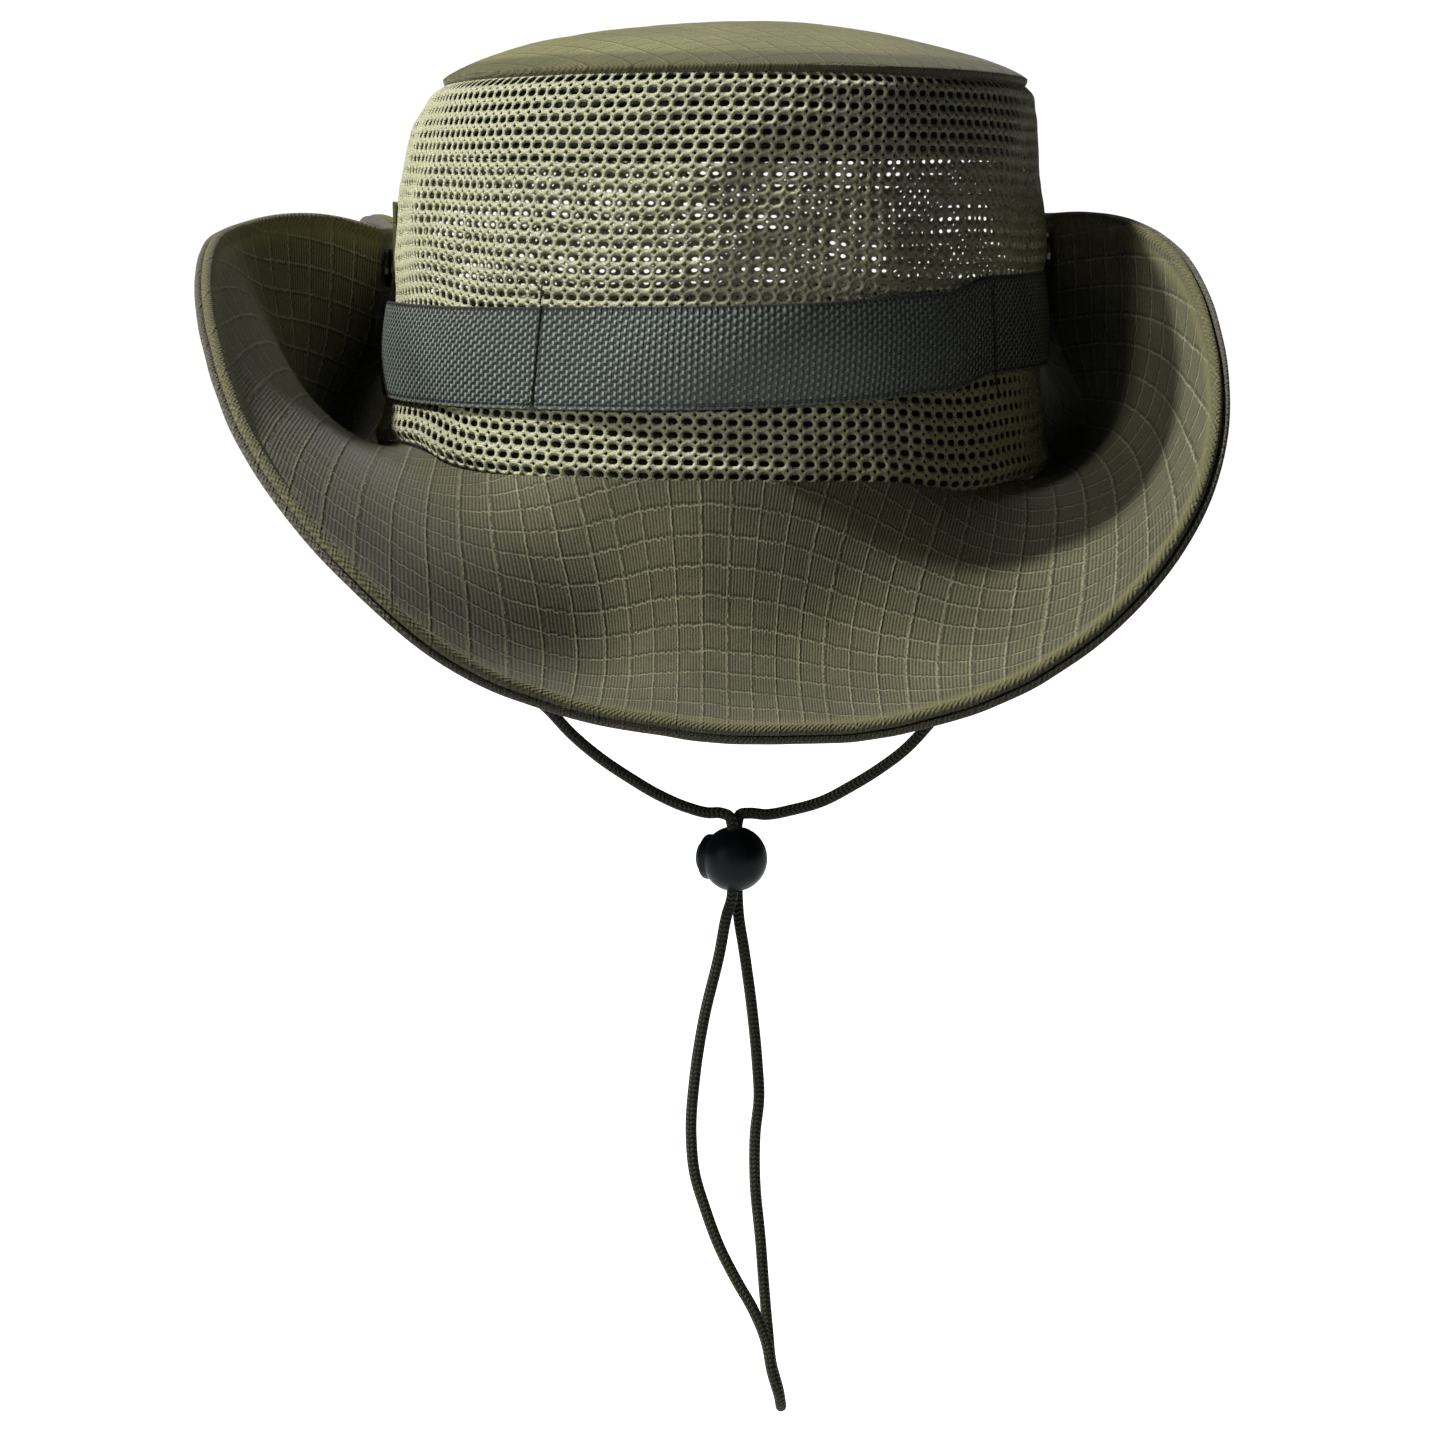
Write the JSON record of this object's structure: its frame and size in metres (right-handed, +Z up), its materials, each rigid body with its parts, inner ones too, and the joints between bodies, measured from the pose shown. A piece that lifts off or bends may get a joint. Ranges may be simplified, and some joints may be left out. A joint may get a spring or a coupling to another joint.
{
  "type": "boonie hat",
  "caption": "Soft sun hat with a net crown, webbing band, sides of the brim snapped up, and a chin cord with a toggle.",
  "frame": {"origin": "centre of the head opening, level with the seam between crown and brim", "axes": "+Z up out of the crown, -Y towards the front of the hat, +X to the right seen from the front; left and right in names are as seen from the front"},
  "size_m": [0.2375, 0.3142, 0.3648],
  "materials": {
    "ripstop": "matt ripstop weave",
    "net": "open knitted net",
    "stiffener": "matt felt",
    "dark_cloth": "matt weave",
    "webbing": "woven tape, slight sheen",
    "thread": "matt thread",
    "snap_metal": "dark painted",
    "cord": "braided",
    "spring_steel": "bright",
    "black_plastic": "satin"
  },
  "bodies": {
    "hat": {"band_tack_back_left": "thread", "band_tack_back_right": "thread", "band_tack_front_left": "thread", "band_tack_front_right": "thread", "band_tack_side_left": "thread", "brim_stiffener_back": "stiffener", "brim_stiffener_front": "stiffener", "brim_top_back": "ripstop", "brim_top_front": "ripstop", "brim_under_back": "ripstop", "brim_under_front": "ripstop", "cord_anchor_left": "dark_cloth", "cord_anchor_right": "dark_cloth", "crown_net_back": "net", "crown_net_front": "net", "crown_seam_facing": "dark_cloth", "crown_top": "ripstop", "hat_band": "webbing", "snap_patch_left": "ripstop", "snap_patch_right": "ripstop", "snap_post_left": "snap_metal", "snap_post_right": "snap_metal", "snap_stud_left": "snap_metal", "snap_stud_right": "snap_metal", "sweatband": "dark_cloth"},
    "left_flap": {"brim_stiffener_left": "stiffener", "brim_top_left": "ripstop", "brim_under_left": "ripstop", "snap_cap_left": "snap_metal", "snap_socket_left": "snap_metal"},
    "right_flap": {"brim_stiffener_right": "stiffener", "brim_top_right": "ripstop", "brim_under_right": "ripstop", "snap_cap_right": "snap_metal", "snap_socket_right": "snap_metal"},
    "chin_cord": {"chin_cord_left": "cord", "chin_cord_right": "cord", "chin_cord_loop": "cord"},
    "toggle": {"toggle_body": "black_plastic", "toggle_spring": "spring_steel"},
    "plunger": {"toggle_plunger": "black_plastic"}
  },
  "joints": [
    {"name": "left_flap_fold", "type": "hinge", "parent": "hat", "child": "left_flap", "pos_m": [-0.0881, 0, -0.0015], "axis": [0, -1, 0], "range_deg": [0, 95]},
    {"name": "right_flap_fold", "type": "hinge", "parent": "hat", "child": "right_flap", "pos_m": [0.0851, 0, -0.003], "axis": [0, 1, 0], "range_deg": [0, 95]},
    {"name": "chin_cord_swing", "type": "hinge", "parent": "hat", "child": "chin_cord", "pos_m": [0, 0, -0.004], "axis": [1, 0, 0], "range_deg": [-55, 55]},
    {"name": "toggle_slide", "type": "slide", "parent": "chin_cord", "child": "toggle", "axis": [0, 0, 1], "range_m": [-0.09, 0.03], "deforming": ["chin_cord_left", "chin_cord_right", "chin_cord_loop"]},
    {"name": "plunger_press", "type": "slide", "parent": "toggle", "child": "plunger", "axis": [0.9063, -0.4226, 0], "range_m": [0, 0.0022], "stiffness_N_per_m": 900, "springref_m": -0.002, "deforming": ["toggle_spring"]}
  ]
}
